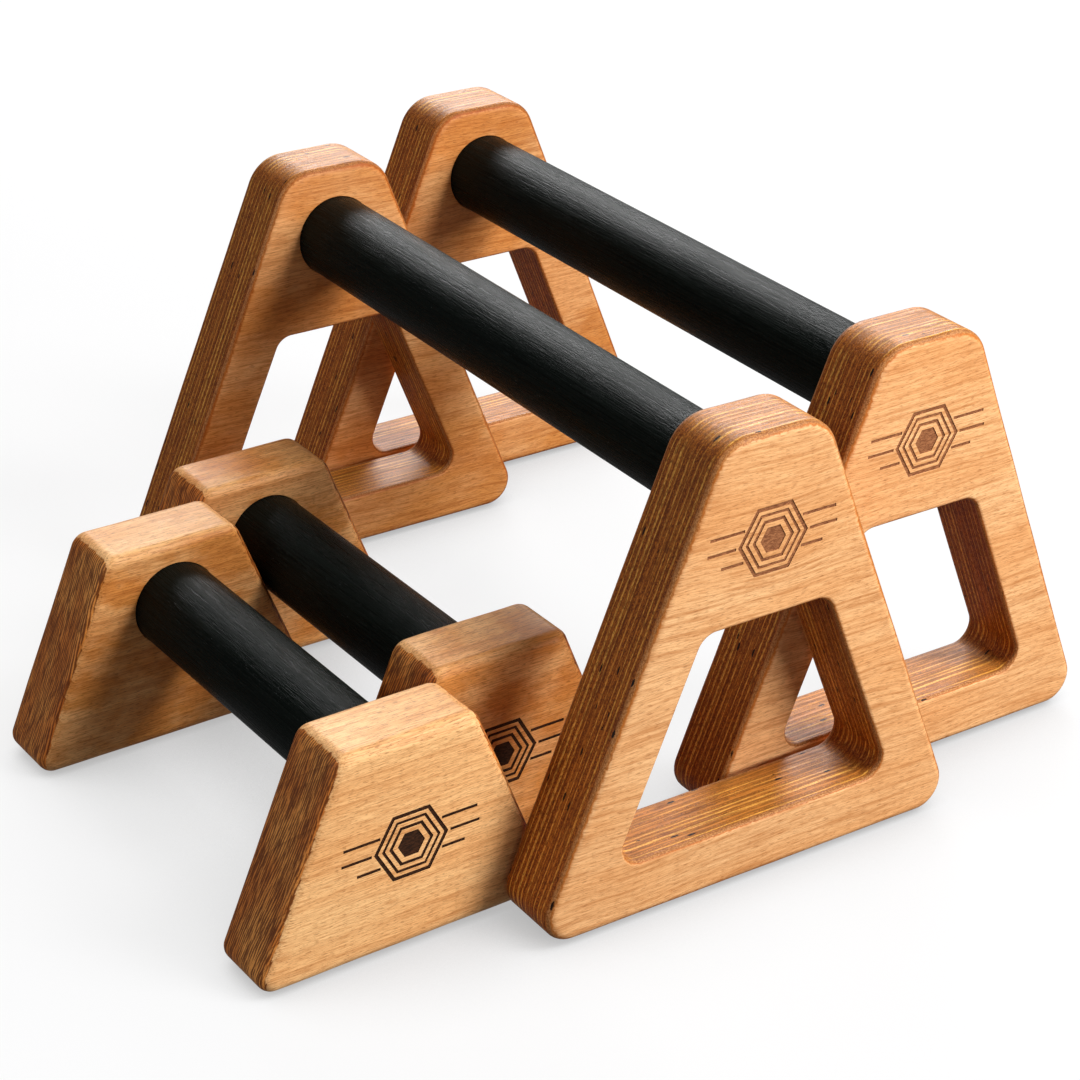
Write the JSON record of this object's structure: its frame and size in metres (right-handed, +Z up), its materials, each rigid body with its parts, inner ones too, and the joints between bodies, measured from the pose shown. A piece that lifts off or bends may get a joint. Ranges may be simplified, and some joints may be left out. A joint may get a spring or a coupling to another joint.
{
  "type": "parallel bars",
  "caption": "Floor parallettes: taller units on windowed plywood frames and lower ones on solid wood blocks, each carrying a round black-stained grip bar.",
  "frame": {"origin": "on the floor, at the middle of the box round the set as its units stand nested", "axes": "+X across the bars, from the low pair to the tall pair; +Y along the bars, from the front end plates to the back ones; +Z up"},
  "size_m": [0.4384, 0.4206, 0.209],
  "materials": {
    "frame_plywood": "satin lacquer over laminated plywood",
    "block_hardwood": "satin lacquer over solid hardwood",
    "bar_stained": "satin black stain",
    "pad_rubber": "matt",
    "screw_zinc": "zinc plated"
  },
  "bodies": {
    "tall_left": {"tall_left_bar": "bar_stained", "tall_left_front_frame": "frame_plywood", "tall_left_back_frame": "frame_plywood", "tall_left_front_screw": "screw_zinc", "tall_left_back_screw": "screw_zinc", "tall_left_front_left_pad": "pad_rubber", "tall_left_front_right_pad": "pad_rubber", "tall_left_back_left_pad": "pad_rubber", "tall_left_back_right_pad": "pad_rubber"},
    "tall_right": {"tall_right_bar": "bar_stained", "tall_right_front_frame": "frame_plywood", "tall_right_back_frame": "frame_plywood", "tall_right_front_screw": "screw_zinc", "tall_right_back_screw": "screw_zinc", "tall_right_front_left_pad": "pad_rubber", "tall_right_front_right_pad": "pad_rubber", "tall_right_back_left_pad": "pad_rubber", "tall_right_back_right_pad": "pad_rubber"},
    "low_left": {"low_left_bar": "bar_stained", "low_left_front_block": "block_hardwood", "low_left_back_block": "block_hardwood", "low_left_front_screw": "screw_zinc", "low_left_back_screw": "screw_zinc", "low_left_front_left_pad": "pad_rubber", "low_left_front_right_pad": "pad_rubber", "low_left_back_left_pad": "pad_rubber", "low_left_back_right_pad": "pad_rubber"},
    "low_right": {"low_right_bar": "bar_stained", "low_right_front_block": "block_hardwood", "low_right_back_block": "block_hardwood", "low_right_front_screw": "screw_zinc", "low_right_back_screw": "screw_zinc", "low_right_front_left_pad": "pad_rubber", "low_right_front_right_pad": "pad_rubber", "low_right_back_left_pad": "pad_rubber", "low_right_back_right_pad": "pad_rubber"}
  },
  "joints": [
    {"name": "tall_right_spacing", "type": "slide", "parent": "tall_left", "child": "tall_right", "axis": [1, 0.0077, 0], "range_m": [0, 0.45]},
    {"name": "low_right_spacing", "type": "slide", "parent": "tall_left", "child": "low_right", "axis": [-0.9997, -0.0244, 0], "range_m": [0, 0.3]},
    {"name": "low_left_spacing", "type": "slide", "parent": "low_right", "child": "low_left", "axis": [-0.9997, -0.0244, 0], "range_m": [0, 0.35]}
  ]
}
